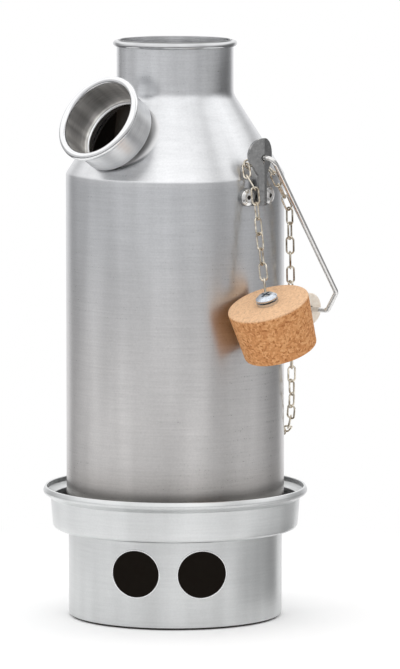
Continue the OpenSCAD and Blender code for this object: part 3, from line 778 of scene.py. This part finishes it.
cup_outline = [
    (EYELET_R + FIT, 0, 0), (SPOUT_R + SHEET, 0, SPOUT_ROUND), (SPOUT_R + SHEET, CUP_TOP_Z, 0),
    (SPOUT_R, CUP_TOP_Z, 0), (SPOUT_R, SHEET, SPOUT_ROUND), (EYELET_R + FIT, SHEET, 0),
]
bm = bmesh.new()
add_lathe(bm, refine(rounded(cup_outline), longest=1.5))
# The inside of the cup takes the lighter copy, painted light.
for f in bm.faces:
    c = f.calc_center_median()
    if math.hypot(c.x, c.y) < SPOUT_R + SHEET / 2 and SHEET - NEAR < c.z < SPOUT_H - SHEET:
        f.material_index = 1
add_lathe(bm, section(SPOUT_R + SPOUT_RIM, SPOUT_H, SPOUT_RIM, SPOUT_RIM, 40), material=2)
make("spout_skin", bm, [CUP, CUP_LIT_INSIDE, BRIGHT], "kettle", ["spout"], ON_SPOUT)

eyelet_outline = [
    (EYELET_IN_R, -EYELET_END_Z, 0), (EYELET_LIP_R, -EYELET_END_Z, 0.3), (EYELET_LIP_R, -EYELET_LIP_Z, 0),
    (EYELET_R, -EYELET_LIP_Z, 0), (EYELET_R, EYELET_LIP_Z, 0), (EYELET_LIP_R, EYELET_LIP_Z, 0.2),
    (EYELET_LIP_R, EYELET_END_Z, 0.4), (EYELET_IN_R, EYELET_END_Z, EYELET_EDGE),
]
bm = bmesh.new()
add_lathe(bm, rounded(eyelet_outline), segments=200)
make("eyelet_skin", bm, [BRIGHT], "kettle", ["spout_eyelet"], ON_SPOUT)

# Rivets


def add_rivet(bm, matrix, grip):
    """A blind rivet through a sheet and the wall, with near-black painted shade in the hollow of its head.
    """
    neck = RIVET_TAIL_Z + RIVET_TAIL_H
    brim = grip + RIVET_BRIM_H
    head = grip + RIVET_HEAD_H
    hollow = grip + RIVET_HOLLOW_Z
    add_lathe(bm, rounded([
        (0, RIVET_TAIL_Z, 0), (RIVET_TAIL_R, RIVET_TAIL_Z, 0.5), (RIVET_TAIL_R, neck, 0.2),
        (RIVET_R, neck, 0), (RIVET_R, grip + FIT, 0),
        (RIVET_HEAD_R, grip + FIT, 0.12), (RIVET_HEAD_R, brim, 0.25),
        (RIVET_CROWN_R, head, 1.6), (RIVET_MOUTH_R, head, 0.2), (RIVET_HOLLOW_R, hollow, 0), (0, hollow, 0),
    ]), 64, matrix)
    back = matrix.inverted()
    for f in bm.faces:
        c = back @ f.calc_center_median()
        if math.hypot(c.x, c.y) < RIVET_MOUTH_R - 0.05 and grip < c.z < head - 0.04:
            f.material_index = 1


for name, node, rivet_turns in (
    ("ear_rivets_front_skin", "ear_rivets_front", (-RIVET_TURN, RIVET_TURN)),
    ("ear_rivets_rear_skin", "ear_rivets_rear", (180 - RIVET_TURN, 180 + RIVET_TURN)),
):
    bm = bmesh.new()
    for turn in rivet_turns:
        add_rivet(bm, on_wall(turn, RIVET_Z), EAR_SHEET + FIT)
    make(name, bm, [RIVET, DARK_PAINTED_SHADE], "kettle", [node])

bm = bmesh.new()
for z in LUG_RIVETS_Z:
    add_rivet(bm, on_wall(90, z), LUG_SHEET + FIT)
make("lug_rivets_skin", bm, [RIVET, DARK_PAINTED_SHADE], "kettle", ["lug_rivets"])

# Bail and grip


def on_bail(y, reach):
    """A point of the hanging bail, at a distance to the side and from the pivots."""
    lean = math.radians(BAIL_LEAN)
    return Vector((reach * math.sin(lean), -y, PIVOT_Z - reach * math.cos(lean)))


half = [
    (BAIL_HEAD_Y - BAIL_HEAD_H, 0), (BAIL_ARM_TOP_Y, 0),
    (BAIL_ARM_LOW_Y, BAIL_ARM_LEN), (BAR_HALF, BAIL_REACH),
]
route = [on_bail(y, r) for y, r in half] + [on_bail(-y, r) for y, r in half[::-1]]
head_outline = [(0, 0, 0), (BAIL_HEAD_R, 0, 0.2), (BAIL_HEAD_R, BAIL_HEAD_H, 0.5), (0, BAIL_HEAD_H, 0)]
bm = bmesh.new()
add_tube(bm, bent(route, BAIL_BEND), BAIL_DRAWN_R, 28)
for side in (0, 180):
    place = turn_z(side) @ Matrix.Translation((0, -BAIL_HEAD_Y, PIVOT_Z)) @ TO_FRONT.inverted()
    add_lathe(bm, rounded(head_outline), 40, place)
make("bail_skin", bm, [WIRE], "bail", ["bail_wire"])

grip_outline = [
    (GRIP_BORE_R, -GRIP_LEN / 2, 0.3), (GRIP_R, -GRIP_LEN / 2, GRIP_ROUND),
    (GRIP_R, GRIP_LEN / 2, GRIP_ROUND), (GRIP_BORE_R, GRIP_LEN / 2, 0.3),
]
bm = bmesh.new()
on_bar = Matrix.Translation(on_bail(0, BAIL_REACH)) @ TO_FRONT
add_lathe(bm, refine(rounded(grip_outline), longest=4.0), 96, on_bar)
make("grip_skin", bm, [WOOD], "bail_grip", ["grip"])

# Chain: one smooth oval link for each solid of the CAD chain


def islands(node):
    """The vertex positions of each separate solid of a CAD node, in millimetres."""
    mesh = nodes[node].data
    group = list(range(len(mesh.vertices)))

    def root(i):
        while group[i] != i:
            group[i] = group[group[i]]
            i = group[i]
        return i

    points = np.array([v.co for v in mesh.vertices]) / MM
    first = {}
    for i, p in enumerate(points):
        j = first.setdefault(tuple(np.round(p, 3)), i)
        group[root(i)] = root(j)
    for e in mesh.edges:
        group[root(e.vertices[0])] = root(e.vertices[1])
    found = {}
    for i in range(len(points)):
        found.setdefault(root(i), []).append(points[i])
    return [np.array(p) for p in found.values()]


def add_link(bm, points, in_len, in_w, steps=14, sides=12):
    """An oval link where the CAD solid lies, by the solid's longest way and its next."""
    spread = np.linalg.svd(points - points.mean(0), full_matrices=False)[2]
    local = (points - points.mean(0)) @ spread.T
    middle = points.mean(0) + (local.max(0) + local.min(0)) / 2 @ spread
    along, wide = Vector(spread[0]), Vector(spread[1])
    bend = in_w / 2 + LINK_WIRE_R
    straight = (in_len - in_w) / 2
    loop = []
    for end in (1, -1):
        for k in range(steps + 1):
            t = math.pi * k / steps
            out = (along * math.sin(t) - wide * math.cos(t)) * end
            loop.append((Vector(middle) + along * end * straight + out * bend, out))
    add_loop(bm, loop, along.cross(wide).normalized(), LINK_DRAWN_R, sides)


for node, body in (
    ("ear_chain", "kettle"), ("pour_chain", "kettle"),
    ("cork_chain_top", "stopper_link"), ("cork_chain", "stopper_chain"),
):
    bm = bmesh.new()
    for solid in islands(node):
        add_link(bm, solid, LINK_IN_LEN, LINK_IN_W)
    make(node + "_skin", bm, [CHAIN], body, [node], sharp=80)
bm = bmesh.new()
add_link(bm, islands("cork_link")[0], CORK_LINK_IN_LEN, CORK_LINK_IN_W)
make("cork_link_skin", bm, [CHAIN], "stopper", ["cork_link"], sharp=80)

# Stopper, with fine pits in its cork

cork_outline = [
    (CORK_BORE_R, -CORK_H, 0), (CORK_LOW_R, -CORK_H, CORK_ROUND),
    (CORK_TOP_R, 0, CORK_ROUND), (CORK_BORE_R, 0, 0),
]
bm = bmesh.new()
add_lathe(bm, refine(rounded(cork_outline), longest=0.8), segments=220)
cork = make("cork_skin", bm, [CORK], "stopper", ["cork"], ON_CORK, sharp=70)
pits = bpy.data.textures.new("cork_pits", "CLOUDS")
pits.noise_scale = 0.0011
pits.noise_depth = 3
rough = cork.modifiers.new("pits", "DISPLACE")
rough.texture = pits
rough.texture_coords = "LOCAL"
rough.strength = 0.00018
rough.mid_level = 0.75

# CAD pieces that stay as they are, with their edges eased

for node, material, width in (
    ("bail_ear_front", EAR, 0.35), ("bail_ear_rear", EAR, 0.35), ("chain_lug", EAR, 0.15),
    ("cork_bolt", BOLT, 0.12), ("cork_washers", BOLT, 0.12), ("cork_nut", BOLT, 0.15),
):
    obj = nodes[node]
    for s in obj.material_slots:
        s.material = material
    ease = obj.modifiers.new("eased", "BEVEL")
    ease.width = width * MM
    ease.segments = 2
    ease.limit_method = "ANGLE"
    ease.angle_limit = math.radians(35)
    ease.harden_normals = False

# Floor and reflection cards, in metres

AZIMUTH = math.radians(-48.0)
FLOOR_R = 0.42
FLOOR_DROP = 0.0002
FLOOR_FADE = (0.12, 0.34)
FLOOR_WHITE = (0.96, 0.96, 0.96, 1)
toward = Vector((math.sin(AZIMUTH), -math.cos(AZIMUTH), 0))
right = Vector((math.cos(AZIMUTH), math.sin(AZIMUTH), 0))


def add_stage(name, bm, material):
    """An object of the stage, which isn't a piece of the kettle."""
    mesh = bpy.data.meshes.new(name)
    bm.to_mesh(mesh)
    bm.free()
    mesh.materials.append(material)
    obj = bpy.data.objects.new(name, mesh)
    bpy.context.scene.collection.objects.link(obj)
    return obj


def floor_material():
    """White that takes the object's shadow and, for the camera, fades into the white background."""
    t = new_material("floor_white")
    pale = t.add("ShaderNodeBsdfDiffuse", {"Color": FLOOR_WHITE})
    fade = t.span(t.length(t.place()), FLOOR_FADE, kind="SMOOTHSTEP")
    seen = t.add("ShaderNodeLightPath").outputs["Is Camera Ray"]
    white = t.add("ShaderNodeEmission")
    ends = t.add("ShaderNodeMixShader", {
        0: t.math("MULTIPLY", fade, seen), 1: pale.outputs[0], 2: white.outputs[0],
    })
    t.feed(t.out, "Surface", ends.outputs[0])
    return t.owner


def around(t, vector):
    """A value that goes from 0 to 1 once round the object, with 0.5 toward the camera."""
    turn = (0, 0, math.pi / 2 - AZIMUTH)
    spin = t.add("ShaderNodeMapping", {"Vector": vector, "Rotation": turn}, vector_type="POINT")
    return t.add("ShaderNodeTexGradient", {"Vector": spin.outputs[0]}, gradient_type="RADIAL").outputs[0]


def card_material(name, tones, dimmed):
    """Grey light with (turn, level) tones. dimmed is (height, height, share) for a dimmer lower part."""
    t = new_material(name)
    place = t.place()
    grey = t.add("ShaderNodeEmission", {"Color": t.greys(around(t, place), tones)})
    if dimmed:
        t.feed(grey, "Strength", t.span(t.parts(place)["Z"], dimmed[:2], (dimmed[2], 1.0)))
    t.feed(t.out, "Surface", grey.outputs[0])
    return t.owner


def add_card(name, radius, arc, heights, tones, dimmed=None, steps=32):
    """A curved grey card on the right, seen only in reflections."""
    bm = bmesh.new()
    rows = []
    for k in range(steps + 1):
        a = math.radians(arc[0] + (arc[1] - arc[0]) * k / steps)
        spot = (toward * math.cos(a) + right * math.sin(a)) * radius
        rows.append([bm.verts.new(spot + Vector((0, 0, z))) for z in heights])
    for one, two in zip(rows, rows[1:]):
        bm.faces.new((one[0], two[0], two[1], one[1]))
    card = add_stage(name, bm, card_material(name + "_grey", tones, dimmed))
    card.visible_camera = False
    card.visible_diffuse = False
    card.visible_shadow = False


bm = bmesh.new()
bmesh.ops.create_circle(bm, cap_ends=True, segments=128, radius=FLOOR_R)
bmesh.ops.translate(bm, verts=bm.verts, vec=(0, 0, -FLOOR_DROP))
add_stage("floor", bm, floor_material())
add_card(
    "low_card", 0.10, (50.0, 108.0), (0.0, 0.062),
    ((0.635, 1.0), (0.68, 0.74), (0.74, 0.56), (0.80, 0.52)), dimmed=(0.036, 0.05, 0.70),
)
add_card(
    "neck_card", 0.12, (54.0, 116.0), (0.262, 0.303),
    ((0.65, 0.62), (0.69, 0.48), (0.722, 0.28), (0.76, 0.15), (0.81, 0.17)),
)

# Light: a studio with lighter and darker sides, a bright sky and a dim ground, and white for the camera

SKY_RISE = (0.18, 0.50)
GROUND_RISE = (-0.36, -0.22)
GROUND_GREY = (0.22, 0.22, 0.225, 1)
SIDE_LEVELS = (
    (0.0, 1.0), (0.065, 0.98), (0.115, 0.35), (0.17, 0.59), (0.22, 0.76), (0.265, 0.70), (0.33, 0.80),
    (0.40, 0.86), (0.49, 0.72), (0.56, 0.75), (0.635, 0.56), (0.70, 0.66), (0.77, 0.52), (0.83, 0.30),
    (0.885, 0.27), (0.935, 1.0), (1.0, 1.0),
)
SKY_LEVELS = (
    (0.0, 1.34), (0.30, 1.34), (0.36, 1.22), (0.42, 1.38),
    (0.60, 1.38), (0.675, 0.84), (0.74, 1.36), (1.0, 1.34),
)
world = bpy.data.worlds.new("studio")
bpy.context.scene.world = world
t = Shader(world, "ShaderNodeOutputWorld")
way = t.add("ShaderNodeTexCoord").outputs["Generated"]
up = t.parts(way)["Z"]
turn = around(t, way)
sides = t.ramp(turn, [(at, (level, level, level * 1.01)) for at, level in SIDE_LEVELS])
sky = t.greys(turn, SKY_LEVELS)
lit = t.blend(t.span(up, SKY_RISE, kind="SMOOTHSTEP"), sides, sky)
based = t.blend(t.span(up, GROUND_RISE, kind="SMOOTHSTEP"), GROUND_GREY, lit)
seen = t.add("ShaderNodeLightPath").outputs["Is Camera Ray"]
back = t.add("ShaderNodeBackground", {"Color": t.blend(seen, based, (1, 1, 1, 1))})
t.feed(t.out, "Surface", back.outputs[0])

# Camera

LENS = 324.5
SENSOR = 36.0
AIM_RIGHT = 0.01365
AIM_UP = 0.1553
CAMERA_BACK = 3.3
CAMERA_UP = 0.378
camera = bpy.data.objects.new("camera", bpy.data.cameras.new("camera"))
bpy.context.scene.collection.objects.link(camera)
camera.data.sensor_width = SENSOR
camera.data.lens = LENS
camera.data.clip_end = 60
aim = right * AIM_RIGHT + Vector((0, 0, AIM_UP))
camera.location = aim + toward * CAMERA_BACK + Vector((0, 0, CAMERA_UP))
camera.rotation_euler = (aim - camera.location).to_track_quat("-Z", "Y").to_euler()
bpy.context.scene.camera = camera
bpy.context.scene.view_settings.view_transform = "Standard"
